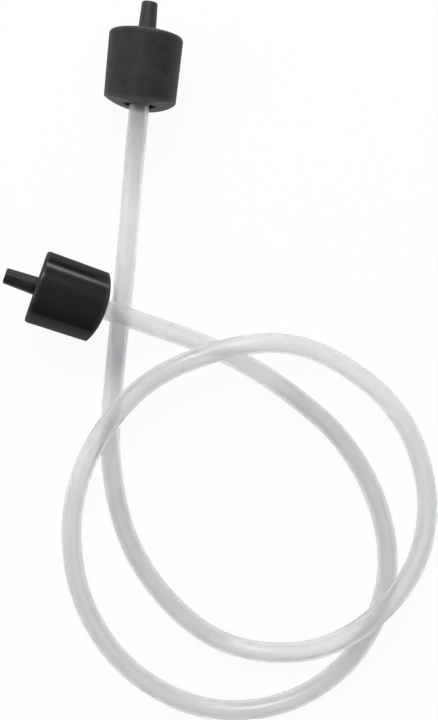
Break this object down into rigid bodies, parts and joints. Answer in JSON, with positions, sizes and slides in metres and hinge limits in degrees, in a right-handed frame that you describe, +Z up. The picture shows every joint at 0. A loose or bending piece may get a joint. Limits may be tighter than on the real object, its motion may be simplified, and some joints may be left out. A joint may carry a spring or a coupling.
{
  "type": "hose with end plugs",
  "caption": "Translucent soft hose lying in loose overlapping loops, with a thick black push-in plug and thin tapered nozzle on each end.",
  "frame": {"origin": "on the plane the hose lies on, midway between the outer limits of the two plugs", "axes": "+Z up, away from the plane the hose lies on; +Y from the lower plug towards the upper plug, +X to the right seen from above"},
  "size_m": [0.1301, 0.2162, 0.0253],
  "materials": {
    "clear_hose": "smooth, milky and see-through",
    "black_rubber": "satin, fine moulded grain",
    "black_plastic": "satin, moulded"
  },
  "bodies": {
    "root": {"hose": "clear_hose", "upper_plug_grip": "black_rubber", "upper_plug_nozzle": "black_plastic", "lower_plug_grip": "black_rubber", "lower_plug_nozzle": "black_plastic"}
  },
  "joints": []
}
